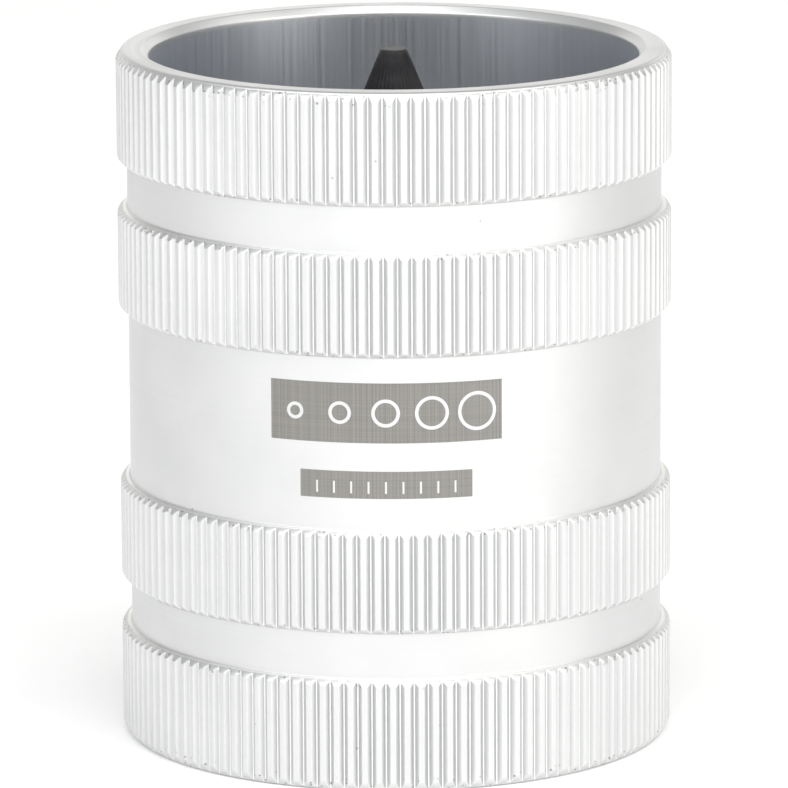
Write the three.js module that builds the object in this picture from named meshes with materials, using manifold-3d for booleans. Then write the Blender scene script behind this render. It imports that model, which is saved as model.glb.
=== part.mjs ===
// Inner and outer tube deburrer for tubes of 10 to 54 mm, in millimetres, +Z up.
// The origin is the centre of the bottom end, where the funnel for the outside of a tube opens.
// The cone for the inside of a tube points up and ends just below the top rim.
import * as THREE from 'three';
import { mergeVertices } from 'three/addons/utils/BufferGeometryUtils.js';
import Module from 'manifold-3d';

const wasm = await Module();
wasm.setup();

// ---- Driving dimensions: barrel ----
const BARREL_R = 32.5;          // over the grip bands
const BARREL_LENGTH = 81.5;
const END_BAND = 13.1;          // length of each end grip band
const INNER_BAND = 12;          // length of each inner grip band
const GROOVE = 5.5;             // plain groove between an end band and its inner band
const BAND_STEP = 1.15;         // how far a band stands out of the plain turned surface
const BAND_CHAMFER = { depth: 0.65, length: 0.65 };
const BARREL_WALL = 3.8;        // from the grip bands in to the bore
const MOUTH_CHAMFER = 0.8;      // inside edge of the top rim
const RIM_CHAMFER = { depth: 0.5, length: 0.95 };    // steeper lead-in at both outer ends
const LIP_DEPTH = 0.7;          // stop lip inside the bore, under which the blade feet bear
const LIP_LENGTH = 4.1;
const SEAT_DEPTH = 12.2;        // counterbore from the bottom end up to the lip
const SEAT_STEP = 1.4;          // how much wider the counterbore is than the bore
const FOOT_CHAMFER = 0.5;       // inside edge of the bottom end
const BARREL_SEGMENTS = 72;

// ---- Driving dimensions: retaining ring and its groove ----
const RING_THICKNESS = 1.5;
const RING_FROM_END = 3.3;      // underside of the ring above the bottom end
const RING_BITE = 0.8;          // depth of its groove in the seat
const RING_WIDTH = 2.0;
const RING_GAP_ANGLE = 0.42;    // radians between the two ends
const LUG_R = 1.6;
const LUG_HOLE_R = 0.75;

// ---- Driving dimensions: blades and core ----
const BLADE_COUNT = 40;
const BLADE_THICKNESS = 0.5;
const FUNNEL_ANGLE = THREE.MathUtils.degToRad(35);    // half angle of the inner cutting funnel
const POINT_DROP = 0.3;         // the point ends this far below the top rim
const TIP_R = 1.55;             // flat end of the point
const NOSE_STEP = 1.0;          // how far the nose stands out over the blades' inner edges
const FLUTE_DEPTH = 0.06;       // of the radius, so that the flutes run out at the point
const FUNNEL_LIP = 0.4;         // blade width left between the funnel's mouth and the bore lip
const COLLAR_HEIGHT = 1.0;      // each hooking collar on the spindle
const COLLAR_STEP = 1.1;        // how far a collar stands out of the spindle
const UPPER_COLLAR_DROP = 4.2;  // below the nose
const LOWER_COLLAR_RISE = 6.0;  // above the spindle's end
const SPINDLE_BEYOND = 2.5;     // spindle end above the funnel's apex
const COMB_WALL = 0.9;          // of the comb ring outside its slots
const COMB_FLOOR_THICKNESS = 1.2;

// ---- Clearances ----
const FACE_GAP = 0.3;           // between pieces that rest on each other
const BLADE_GAP = 0.3;          // between two blades at the spindle
const SLOT_GAP = 0.3;           // each side of a blade in its comb slot

// ---- Sizes that follow ----
const PLAIN_R = BARREL_R - BAND_STEP;
const BORE_R = BARREL_R - BARREL_WALL;
const SEAT_R = BORE_R + SEAT_STEP;
const LIP_R = BORE_R - LIP_DEPTH;
const LIP_TOP = SEAT_DEPTH + LIP_LENGTH;
const RING_TOP = RING_FROM_END + RING_THICKNESS;
const COMB_BASE = RING_TOP + FACE_GAP;
const COMB_TOP = SEAT_DEPTH - FACE_GAP;
const COMB_FLOOR = COMB_BASE + COMB_FLOOR_THICKNESS;
const COMB_R = SEAT_R - FACE_GAP;
const COMB_SLOT_R = COMB_R - COMB_WALL;
const BLADE_OUTER_R = LIP_R - FACE_GAP;
const BLADE_INNER_R = BLADE_COUNT * (BLADE_THICKNESS + BLADE_GAP) / (2 * Math.PI);
const FUNNEL_MOUTH_R = BLADE_OUTER_R - FUNNEL_LIP;    // takes a 54 mm tube
const COMB_INNER_R = FUNNEL_MOUTH_R + FACE_GAP;
const FOOT_OUTER_R = COMB_SLOT_R - FACE_GAP;
const FOOT_BASE = COMB_FLOOR + FACE_GAP;
const POINT_TOP = BARREL_LENGTH - POINT_DROP;
const CONE_SLOPE = (BLADE_OUTER_R - TIP_R) / (POINT_TOP - LIP_TOP);
const FUNNEL_SLOPE = Math.tan(FUNNEL_ANGLE);
const SPINDLE_R = BLADE_INNER_R - FACE_GAP;
const COLLAR_R = SPINDLE_R + COLLAR_STEP;
const NOSE_R = BLADE_INNER_R + NOSE_STEP;
const NOSE_BASE = coneHeight(NOSE_R);
const BLADE_TOP = NOSE_BASE - FACE_GAP;
const FUNNEL_APEX = FOOT_BASE + (FUNNEL_MOUTH_R - BLADE_INNER_R) / FUNNEL_SLOPE;
const SPINDLE_END = FUNNEL_APEX + SPINDLE_BEYOND;
const UPPER_COLLAR = NOSE_BASE - UPPER_COLLAR_DROP;
const LOWER_COLLAR = SPINDLE_END + LOWER_COLLAR_RISE;

const ALUMINIUM = { color: 0xdcdedf, roughness: 0.38, metalness: 1 };
const BLACK_STEEL = { color: 0x33363a, roughness: 0.45, metalness: 0.9 };
const BLADE_STEEL = { color: 0x5b5f66, roughness: 0.32, metalness: 1 };
const SPRING_STEEL = { color: 0x4a4643, roughness: 0.4, metalness: 1 };

// Radius of the outer cutting cone at a height, and the height at which it has a radius.
function coneRadius(z) {
  return TIP_R + (POINT_TOP - z) * CONE_SLOPE;
}

function coneHeight(r) {
  return POINT_TOP - (r - TIP_R) / CONE_SLOPE;
}

function pointsOf(pairs) {
  return pairs.map(([r, z]) => new THREE.Vector2(r, z));
}

// Turns an outline of [radius, height] pairs round +Z; the outline runs upward on its outer side.
function turned(pairs, segments) {
  return new THREE.LatheGeometry(pointsOf(pairs), segments).rotateX(Math.PI / 2);
}

function meshOf(name, geometry, finish) {
  const mesh = new THREE.Mesh(geometry, new THREE.MeshStandardMaterial(finish));
  mesh.name = name;
  return mesh;
}

// A closed three.js geometry as a solid for boolean work, and back again.
function solidOf(geometry) {
  const bare = geometry.clone();
  bare.deleteAttribute('normal');
  bare.deleteAttribute('uv');
  const merged = mergeVertices(bare, 1e-4);
  return new wasm.Manifold(new wasm.Mesh({
    numProp: 3,
    vertProperties: new Float32Array(merged.attributes.position.array),
    triVerts: new Uint32Array(merged.index.array),
  }));
}

function geometryOf(solid) {
  const { vertProperties, triVerts } = solid.getMesh();
  const geometry = new THREE.BufferGeometry();
  geometry.setAttribute('position', new THREE.BufferAttribute(vertProperties, 3));
  geometry.setIndex(new THREE.BufferAttribute(triVerts, 1));
  geometry.computeVertexNormals();
  return geometry;
}

// Outline points of one grip band from height a to height b: lower chamfer, land, upper chamfer.
function bandOutline(a, b, lower, upper) {
  return [
    [BARREL_R - lower.depth, a],
    [BARREL_R, a + lower.length],
    [BARREL_R, b - upper.length],
    [BARREL_R - upper.depth, b],
  ];
}

function barrelOutline() {
  const outer = [];
  const lowerHalf = [
    [0, END_BAND, RIM_CHAMFER, BAND_CHAMFER],
    [END_BAND + GROOVE, END_BAND + GROOVE + INNER_BAND, BAND_CHAMFER, BAND_CHAMFER],
  ];
  const flip = ([a, b, lower, upper]) => [BARREL_LENGTH - b, BARREL_LENGTH - a, upper, lower];
  const upperHalf = lowerHalf.map(flip).reverse();
  for (const [a, b, lower, upper] of [...lowerHalf, ...upperHalf]) {
    if (a > 0) outer.push([PLAIN_R, a]);
    outer.push(...bandOutline(a, b, lower, upper));
    if (b < BARREL_LENGTH) outer.push([PLAIN_R, b]);
  }
  const inner = [
    [BORE_R + MOUTH_CHAMFER, BARREL_LENGTH],
    [BORE_R, BARREL_LENGTH - MOUTH_CHAMFER],
    [BORE_R, LIP_TOP + LIP_DEPTH],
    [LIP_R, LIP_TOP],
    [LIP_R, SEAT_DEPTH],
    [SEAT_R, SEAT_DEPTH],
    [SEAT_R, RING_TOP + FACE_GAP / 2],
    [SEAT_R + RING_BITE, RING_TOP + FACE_GAP / 2],
    [SEAT_R + RING_BITE, RING_FROM_END - FACE_GAP / 2],
    [SEAT_R, RING_FROM_END - FACE_GAP / 2],
    [SEAT_R, FOOT_CHAMFER],
    [SEAT_R + FOOT_CHAMFER, 0],
  ];
  return [...outer, ...inner, outer[0]];
}

function barrel() {
  return meshOf('barrel', turned(barrelOutline(), BARREL_SEGMENTS), ALUMINIUM);
}

// The centre piece: a fluted nose on a round spindle with two collars. Its ridges stand in line with the
// blades, so twice the blade count of segments makes one ridge and one flute for each blade.
function core() {
  const collarOutline = (base) => [
    [SPINDLE_R, base],
    [COLLAR_R, base],
    [COLLAR_R, base + COLLAR_HEIGHT],
    [SPINDLE_R, base + COLLAR_HEIGHT],
  ];
  const geometry = turned([
    [0, SPINDLE_END],
    [SPINDLE_R, SPINDLE_END],
    ...collarOutline(LOWER_COLLAR),
    ...collarOutline(UPPER_COLLAR),
    [SPINDLE_R, NOSE_BASE],
    [NOSE_R, NOSE_BASE],
    [TIP_R, POINT_TOP],
    [0, POINT_TOP],
  ], 2 * BLADE_COUNT);
  const place = geometry.attributes.position;
  for (let i = 0; i < place.count; i += 1) {
    const x = place.getX(i);
    const y = place.getY(i);
    const z = place.getZ(i);
    const onNose = z > NOSE_BASE - FACE_GAP / 2 && Math.hypot(x, y) > 0.9 * coneRadius(z);
    const step = Math.round(Math.atan2(y, x) * BLADE_COUNT / Math.PI);
    if (onNose && step % 2 !== 0) place.setXY(i, x * (1 - FLUTE_DEPTH), y * (1 - FLUTE_DEPTH));
  }
  return meshOf('core', geometry, BLACK_STEEL);
}

// One blade in the radius-height plane: its outer edge on the cone, its inner edge on the funnel.
function bladeShape() {
  const notch = (base) => [
    [BLADE_INNER_R, base - FACE_GAP],
    [COLLAR_R + FACE_GAP, base - FACE_GAP],
    [COLLAR_R + FACE_GAP, base + COLLAR_HEIGHT + FACE_GAP],
    [BLADE_INNER_R, base + COLLAR_HEIGHT + FACE_GAP],
  ];
  return new THREE.Shape(pointsOf([
    [FUNNEL_MOUTH_R, FOOT_BASE],
    [FOOT_OUTER_R, FOOT_BASE],
    [FOOT_OUTER_R, COMB_TOP],
    [BLADE_OUTER_R, COMB_TOP],
    [BLADE_OUTER_R, LIP_TOP],
    [coneRadius(BLADE_TOP), BLADE_TOP],
    [BLADE_INNER_R, BLADE_TOP],
    ...notch(UPPER_COLLAR).reverse(),
    ...notch(LOWER_COLLAR).reverse(),
    [BLADE_INNER_R, FUNNEL_APEX],
  ]));
}

function blade(index) {
  const geometry = new THREE.ExtrudeGeometry(bladeShape(), { depth: BLADE_THICKNESS, bevelEnabled: false });
  geometry.translate(0, 0, -BLADE_THICKNESS / 2);
  geometry.rotateX(Math.PI / 2);
  const mesh = meshOf(`blade_${String(index + 1).padStart(2, '0')}`, geometry, BLADE_STEEL);
  mesh.rotation.z = index * 2 * Math.PI / BLADE_COUNT;
  return mesh;
}

// The ring that spaces the blade feet: a turned ring with a floor, slotted from above for every blade.
function combRing() {
  let ring = solidOf(turned([
    [COMB_INNER_R, COMB_BASE],
    [COMB_R, COMB_BASE],
    [COMB_R, COMB_TOP],
    [COMB_INNER_R, COMB_TOP],
    [COMB_INNER_R, COMB_BASE],
  ], 2 * BLADE_COUNT));
  const overcut = 2;
  const slotLength = COMB_SLOT_R - COMB_INNER_R + overcut;
  const slotHeight = COMB_TOP - COMB_FLOOR + overcut;
  for (let i = 0; i < BLADE_COUNT; i += 1) {
    const cutter = new THREE.BoxGeometry(slotLength, BLADE_THICKNESS + 2 * SLOT_GAP, slotHeight);
    cutter.translate(COMB_SLOT_R - slotLength / 2, 0, COMB_FLOOR + slotHeight / 2);
    cutter.rotateZ(i * 2 * Math.PI / BLADE_COUNT);
    ring = ring.subtract(solidOf(cutter));
  }
  return meshOf('comb_ring', geometryOf(ring), SPRING_STEEL);
}

// The internal retaining ring: an open ring whose two ends carry lugs with plier holes.
function retainingRing() {
  const outer = SEAT_R + RING_BITE - FACE_GAP;
  const inner = outer - RING_WIDTH;
  const half = RING_GAP_ANGLE / 2;
  const shape = new THREE.Shape();
  shape.absarc(0, 0, outer, half, 2 * Math.PI - half, false);
  shape.absarc(0, 0, inner, 2 * Math.PI - half, half, true);
  shape.closePath();
  const flat = { depth: RING_THICKNESS, bevelEnabled: false, curveSegments: 48 };
  let ring = solidOf(new THREE.ExtrudeGeometry(shape, flat));
  for (const side of [-1, 1]) {
    const lug = new THREE.Shape();
    lug.absarc(0, 0, LUG_R, 0, 2 * Math.PI, false);
    const angle = side * (half + LUG_R / inner);
    const centre = [Math.cos(angle) * (outer - LUG_R), Math.sin(angle) * (outer - LUG_R)];
    const lugBody = new THREE.ExtrudeGeometry(lug, { ...flat, curveSegments: 10 });
    const lugHole = new THREE.CylinderGeometry(LUG_HOLE_R, LUG_HOLE_R, 3 * RING_THICKNESS, 16);
    lugHole.rotateX(Math.PI / 2);
    lugBody.translate(...centre, 0);
    lugHole.translate(...centre, RING_THICKNESS / 2);
    ring = ring.add(solidOf(lugBody)).subtract(solidOf(lugHole));
  }
  const mesh = meshOf('retaining_ring', geometryOf(ring), SPRING_STEEL);
  mesh.position.z = RING_FROM_END;
  return mesh;
}

const deburrer = new THREE.Group();
deburrer.add(barrel(), core(), combRing(), retainingRing());
for (let i = 0; i < BLADE_COUNT; i += 1) deburrer.add(blade(i));

export default deburrer;
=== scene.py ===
"""Inner and outer tube deburrer: a knurled aluminium barrel round a cone and a funnel made of forty blades.

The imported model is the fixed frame, in metres, +Z up, with the origin at the centre of the bottom end.
Each operator makes one piece, or one group of like pieces, round it.
"""
import math

import bmesh
import bpy
from bpy.props import FloatProperty, FloatVectorProperty, IntProperty, PointerProperty
from mathutils import Euler, Matrix, Vector


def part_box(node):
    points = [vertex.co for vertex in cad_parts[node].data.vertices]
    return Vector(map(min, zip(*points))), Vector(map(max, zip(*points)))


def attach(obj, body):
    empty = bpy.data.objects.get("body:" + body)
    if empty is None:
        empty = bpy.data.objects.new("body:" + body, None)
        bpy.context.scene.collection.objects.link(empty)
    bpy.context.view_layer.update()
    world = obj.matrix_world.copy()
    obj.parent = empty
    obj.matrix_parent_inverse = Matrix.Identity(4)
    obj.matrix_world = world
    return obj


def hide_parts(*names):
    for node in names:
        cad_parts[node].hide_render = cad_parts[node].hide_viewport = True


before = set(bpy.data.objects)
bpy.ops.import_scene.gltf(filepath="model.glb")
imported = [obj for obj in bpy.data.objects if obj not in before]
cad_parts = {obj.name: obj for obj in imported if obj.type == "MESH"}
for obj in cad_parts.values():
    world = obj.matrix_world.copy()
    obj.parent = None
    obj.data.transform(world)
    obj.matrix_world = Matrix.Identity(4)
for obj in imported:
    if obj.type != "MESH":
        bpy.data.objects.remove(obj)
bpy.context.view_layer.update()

bl_info = {
    "name": "Tube deburring tool",
    "version": (1, 0, 0),
    "blender": (4, 5, 0),
    "location": "3D View > Sidebar > Deburrer",
    "description": "Builds a knurled inner and outer tube deburrer round its packed frame",
    "category": "Object",
}

MM = 0.001
BODY = "root"
TURN = 2 * math.pi
SHARP = math.radians(40)
WELD = 0.001 * MM
FLOOR_GAP = 0.02 * MM

# ---- Soft lights, in metres and degrees ----
# Each row: its rise, the width and height of its lights, and for each light its turn from the front
# to the right and the brightness of its face.
LIGHT_ROWS = (
    (1, (1.4, 0.13), {-55: 1.35, 0: 3.9, 55: 2.4}),
    (14, (0.6, 0.5), {-150: 0.85, -55: 1.1, 55: 2.5, 150: 1.0, 180: 1.12}),
    (45, (0.8, 0.6), {-100: 0.3, -50: 2.35, 0: 3.1, 50: 2.5, 100: 1.15}),
)
LIGHT_REACH = 1.3
TOP_LIGHT_PLACE = (0.0, -0.28, 1.35)
TOP_LIGHT_SIZE = (0.7, 0.7)
NEUTRAL = (1.0, 1.0, 1.0)
WARM = (1.0, 0.993, 0.95)

# ---- Second colours, which wear, dirt and slow patches bring out, and painted shade, highlights and reflections ----
# Painted shade on the knurl flanks, deepening toward the root
PAINTED_FLANK_SHADE = (0.52, 0.525, 0.53)
# Painted highlight along the knurl roots
PAINTED_ROOT_HIGHLIGHT = (0.93, 0.93, 0.93)
# Painted light on the up-facing shoulders of the bands
PAINTED_SHOULDER_LIGHT = (0.93, 0.925, 0.91)
BRIGHT_EDGE = (0.93, 0.93, 0.925)
GRIT = (0.22, 0.2, 0.18)
NICK = (0.22, 0.21, 0.2)
HATCHED_ETCH = (0.33, 0.32, 0.30)
# Painted reflection: pale streaks down the bore
PAINTED_BORE_REFLECTION = (0.79, 0.815, 0.85)
WORN_BLACK = (0.028, 0.028, 0.03)
RUBBED_RIDGE = (0.1, 0.1, 0.105)
TIP_END = (0.043, 0.044, 0.046)
WORN_BLADE = (0.17, 0.17, 0.175)
OLD_OIL = (0.02, 0.018, 0.016)
GROUND_SHADE = (0.46, 0.46, 0.47)
DARK_PHOSPHATE = (0.13, 0.13, 0.135)
WORN_SPRING = (0.15, 0.135, 0.12)
SPRING_GRIME = (0.03, 0.024, 0.02)
FLOOR_SHADE = (0.93, 0.93, 0.93)

# ---- Places and sizes read from the frame ----
BARREL_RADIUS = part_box("barrel")[1].x
BARREL_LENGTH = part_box("barrel")[1].z
CORE_LOW, CORE_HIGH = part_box("core")
COMB_LOW, COMB_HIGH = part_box("comb_ring")
RING_LOW, RING_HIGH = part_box("retaining_ring")
BLADE_LOW, BLADE_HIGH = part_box("blade_01")
BLADE_NODES = sorted(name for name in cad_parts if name.startswith("blade_"))
BLADE_COUNT = len(BLADE_NODES)
BLADE_THICKNESS = BLADE_HIGH.y - BLADE_LOW.y


def number(name, description, default, **kind):
    return FloatProperty(name=name, description=description, default=default, **kind)


def length(name, description, millimetres):
    """A length property whose default is given in millimetres."""
    return number(name, description, millimetres * MM, min=0.0, unit="LENGTH", precision=5)


def share(name, description, default):
    return number(name, description, default, min=0.0, max=1.0, subtype="FACTOR")


def colour(name, description, default):
    return FloatVectorProperty(
        name=name, description=description, default=default, min=0.0, max=1.0, size=3, subtype="COLOR"
    )


class DeburrerGrip(bpy.types.PropertyGroup):
    """The knurled bands and the plain turned surface between them."""

    knurl_count: IntProperty(
        name="Knurls", description="Straight knurls round each grip band", default=124, min=24, max=240
    )
    knurl_start: number("Knurl start", "Turn of the top band's knurls, in pitches", 0.67)
    knurl_drift: number("Knurl drift", "Further turn of each band below, in pitches", 0.03)
    knurl_depth: length("Knurl depth", "From the land of a knurl down to its root", 0.49)
    knurl_land: share("Knurl land", "Share of the pitch that the flat land takes", 0.38)
    knurl_root: share("Knurl root", "Share of the pitch that the flat root takes", 0.08)
    band_step: length("Band step", "How far a grip band stands out of the plain surface", 1.15)
    band_chamfer: length("Band chamfer", "Chamfer at the inner ends of the bands", 0.65)
    rim_chamfer_depth: length("Rim chamfer depth", "Radial size of the chamfer at both barrel ends", 0.5)
    rim_chamfer_length: length("Rim chamfer length", "Axial size of the chamfer at both barrel ends", 0.78)
    rim_crown: length("Rim crown", "Rounding from the rim's flat to the chamfer: its drop", 0.3)
    rim_crown_depth: length("Rim crown depth", "Rounding from the rim's flat to the chamfer: radial", 0.5)
    end_band: length("End band", "Length of the grip band at each end", 13.1)
    inner_band: length("Inner band", "Length of each inner grip band", 12.0)
    groove: length("Groove", "Plain groove between an end band and its inner band", 5.5)
    edge: length("Edge radius", "Softening of the turned edges", 0.06)
    fillet: length("Groove fillet", "Radius in the inside corners of the plain grooves", 0.25)


class DeburrerBore(bpy.types.PropertyGroup):
    """The inside of the barrel."""

    wall: length("Wall", "From the grip bands in to the bore", 3.8)
    mouth_chamfer: length("Mouth chamfer", "Inside edge of the top rim", 0.8)
    mouth_land: length("Mouth land", "Bright turned band under the mouth chamfer", 0.55)
    lip_depth: length("Lip depth", "How far the stop lip stands into the bore", 0.7)
    lip_length: length("Lip length", "Length of the stop lip", 4.1)
    seat_depth: length("Seat depth", "Counterbore from the bottom end up to the lip", 12.2)
    seat_step: length("Seat step", "How much wider the counterbore is than the bore", 1.4)
    foot_chamfer: length("Foot chamfer", "Inside edge of the bottom end", 0.5)
    clearance: length("Clearance", "Room round the retaining ring in its groove", 0.3)


class DeburrerCore(bpy.types.PropertyGroup):
    """The fluted centre piece and the blades that hook on it."""

    tip_radius: length("Tip radius", "Flat end of the point", 1.55)
    plain_tip: length("Plain tip", "Length of the point above the flutes", 0.45)
    flute_depth: share("Flute depth", "Depth of a flute as a share of the radius there", 0.035)
    spindle_gap: length("Spindle gap", "Between the spindle and the blades' inner edges", 0.3)
    collar_step: length("Collar step", "How far a hooking collar stands out of the spindle", 1.1)
    collar_height: length("Collar height", "Height of each hooking collar", 1.0)
    upper_collar_drop: length("Upper collar", "From the nose down to the upper collar's foot", 4.2)
    lower_collar_rise: length("Lower collar", "From the spindle's end up to the lower collar's foot", 6.0)
    blade_edge: length("Blade edge", "Bevel along the edges of a blade", 0.05)


class DeburrerFinish(bpy.types.PropertyGroup):
    """Colours of the finishes."""

    aluminium: colour("Aluminium", "Satin anodised outside of the barrel", (0.705, 0.71, 0.71))
    aluminium_dull: colour("Dull aluminium", "Duller patches of the anodised surface", (0.66, 0.665, 0.67))
    bore: colour("Bore", "Honed inside of the barrel", (0.69, 0.715, 0.76))
    etch: colour("Etched mark", "Surface greyed by the laser", (0.235, 0.225, 0.21))
    black_steel: colour("Black steel", "Black oxide on the core", (0.010, 0.0105, 0.0125))
    blade_steel: colour("Blade steel", "Black oxide on the flats of the blades", (0.11, 0.11, 0.115))
    ground_steel: colour("Ground steel", "Ground cutting edges", (0.60, 0.60, 0.61))
    phosphate: colour("Phosphate", "Dull grey coat of the comb ring", (0.20, 0.20, 0.205))
    spring_steel: colour("Spring steel", "Oiled retaining ring", (0.10, 0.093, 0.086))
    floor: colour("Floor", "Pale studio floor", (0.95, 0.95, 0.95))


class DeburrerStage(bpy.types.PropertyGroup):
    """Camera, lights and floor. Camera places are multiples of the barrel's radius."""

    camera_distance: number("Camera distance", "From the barrel's axis, in barrel radii", 26.436)
    camera_height: number("Camera height", "Above the floor, in barrel radii", 6.992)
    camera_pitch: number("Camera pitch", "Angle below the horizon", 0.21475, subtype="ANGLE")
    camera_yaw: number("Camera yaw", "Small turn to the left", 0.000164, subtype="ANGLE")
    camera_roll: number("Camera roll", "Small roll of the view", -0.00454, subtype="ANGLE")
    camera_lens: number("Lens", "Focal length on a sensor 36 mm wide", 340.2, unit="CAMERA")
    sky_strength: number("Sky", "Strength of the even light", 0.42, min=0.0)
    top_strength: number("Top", "Brightness of the soft light overhead", 2.05, min=0.0)
    light_gain: number("Ring lights", "Gain of all the lights round the barrel", 1.0, min=0.0)


# ---- meshes ----


def soften(corners, reach, steps=3):
    """An open outline with its inner corners rounded over at most reach on each side."""
    points = [corners[0]]
    for before, corner, after in zip(corners, corners[1:], corners[2:]):
        corner = Vector(corner)
        back = Vector(before) - corner
        on = Vector(after) - corner
        start = corner + back.normalized() * min(reach, 0.45 * back.length)
        end = corner + on.normalized() * min(reach, 0.45 * on.length)
        for step in range(steps + 1):
            t = step / steps
            points.append(tuple(start * (1 - t) ** 2 + corner * 2 * t * (1 - t) + end * t**2))
    points.append(corners[-1])
    return points


class Skin:
    """Rings of points round +Z, each joined to the next. One ring may be finer than the other."""

    def __init__(self):
        self.points = []
        self.rings = []
        self.faces = []
        self.slots = []

    def ring(self, angles, outline, slot=0):
        """Adds a ring with a (radius, height) pair for each angle, and joins it to the ring before."""
        first = len(self.points)
        for angle, (radius, height) in zip(angles, outline):
            self.points.append((radius * math.cos(angle), radius * math.sin(angle), height))
        self.rings.append(range(first, len(self.points)))
        if len(self.rings) > 1:
            self.join(self.rings[-2], self.rings[-1], slot)

    def even_ring(self, angles, radius, height, slot=0):
        self.ring(angles, [(radius, height)] * len(angles), slot)

    def join(self, below, above, slot):
        """Faces between two rings; where one is finer, each face takes several of its edges."""
        coarse = min(len(below), len(above))

        def stretch(ring, i):
            fine = len(ring) // coarse
            return [ring[(i * fine + k) % len(ring)] for k in range(fine + 1)]

        for i in range(coarse):
            self.faces.append(stretch(below, i) + stretch(above, i)[::-1])
            self.slots.append(slot)

    def close(self):
        """Joins the last ring to the first."""
        self.join(self.rings[-1], self.rings[0], 0)

    def cap(self, which):
        """Fills the first ring (0) or the last ring (-1) with one flat face."""
        self.faces.append(list(self.rings[which]))
        self.slots.append(0)

    def mesh(self, name):
        mesh = bpy.data.meshes.new(name)
        mesh.from_pydata(self.points, [], self.faces)
        mesh.polygons.foreach_set("material_index", self.slots)
        face_outward(mesh)
        return mesh


def face_outward(mesh, weld=False):
    work = bmesh.new()
    work.from_mesh(mesh)
    if weld:
        bmesh.ops.remove_doubles(work, verts=work.verts, dist=WELD)
    bmesh.ops.recalc_face_normals(work, faces=work.faces)
    work.to_mesh(mesh)
    work.free()


def add_object(name, data):
    thing = bpy.data.objects.new(name, data)
    bpy.context.scene.collection.objects.link(thing)
    return thing


def add_piece(name, mesh, nodes, materials):
    """Links a mesh as a piece in place of CAD nodes, which it hides, shaded smooth except at its sharp
    edges.
    """
    mesh.shade_smooth()
    mesh.set_sharp_from_angle(angle=SHARP)
    piece = add_object(name, mesh)
    for material in materials:
        mesh.materials.append(material)
    even = piece.modifiers.new("even_shading", "WEIGHTED_NORMAL")
    even.keep_sharp = True
    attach(piece, BODY)
    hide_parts(*nodes)
    return piece


# ---- barrel ----


def knurl_profile(grip, bands_below_top):
    """(angle, depth) round a knurled band: soft-edged land, V flank and narrow flat root, repeated."""
    turn = grip.knurl_start + bands_below_top * grip.knurl_drift
    land = grip.knurl_land / 2
    root = 0.5 - grip.knurl_root / 2
    half = [
        (land - 0.03, 0.0),
        (land - 0.008, 0.025),
        (land + 0.012, 0.08),
        (root - 0.012, 0.95),
        (root - 0.003, 0.985),
        (root + 0.007, 1.0),
    ]
    pitch = [(-place, depth) for place, depth in reversed(half)] + half
    profile = []
    for knurl in range(grip.knurl_count):
        for place, depth in pitch:
            profile.append(((knurl + turn + place) * TURN / grip.knurl_count, depth * grip.knurl_depth))
    return profile


def band_end(grip, profile, end, inward, depth, reach):
    """Rings from a band's end face over its chamfer to its land.

    inward is +1 at the lower end of a band and -1 at its upper end. Each knurl's root runs out through
    the chamfer where the chamfer is as deep as the root.
    """
    slant = math.hypot(depth, reach)
    face, foot, shoulder, land = [], [], [], []
    for _, cut in profile:
        corner = max(0.0, 1 - cut / depth)
        low = min(grip.edge / slant, 0.35 * corner)
        high = corner - min(grip.edge / slant, 0.35 * corner)
        face.append((BARREL_RADIUS - depth - grip.edge, end))
        foot.append((BARREL_RADIUS - depth * (1 - low), end + inward * reach * low))
        shoulder.append((BARREL_RADIUS - depth * (1 - high), end + inward * reach * high))
        land.append((BARREL_RADIUS - cut, end + inward * (reach * corner + grip.edge)))
    return [face, foot, shoulder, land]


def barrel_mesh(grip, bore):
    plain = BARREL_RADIUS - grip.band_step
    skin = Skin()
    rim = (grip.rim_chamfer_depth, grip.rim_chamfer_length)
    inner = (grip.band_chamfer, grip.band_chamfer)
    second = grip.end_band + grip.groove
    lower = [
        (grip.rim_crown, grip.end_band, rim, inner),
        (second, second + grip.inner_band, inner, inner),
    ]
    upper = [(BARREL_LENGTH - b, BARREL_LENGTH - a, high, low) for a, b, low, high in reversed(lower)]
    bands = lower + upper
    for number, (start, end, low, high) in enumerate(bands):
        profile = knurl_profile(grip, len(bands) - 1 - number)
        fine = [angle for angle, _ in profile]
        coarse = fine[::4]
        for outline in band_end(grip, profile, start, 1, *low):
            skin.ring(fine, outline)
        for outline in reversed(band_end(grip, profile, end, -1, *high)):
            skin.ring(fine, outline)
        if number + 1 < len(bands):
            wall = [(BARREL_RADIUS, end), (plain, end), (plain, bands[number + 1][0])]
            wall.append((BARREL_RADIUS, bands[number + 1][0]))
            for radius, height in soften(wall, grip.fillet, 4)[1:-1]:
                skin.even_ring(coarse, radius, height)
    for radius, height, slot in inside_outline(grip, bore):
        skin.even_ring(coarse, radius, height, slot)
    skin.close()
    return skin.mesh("knurled_barrel")


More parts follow.
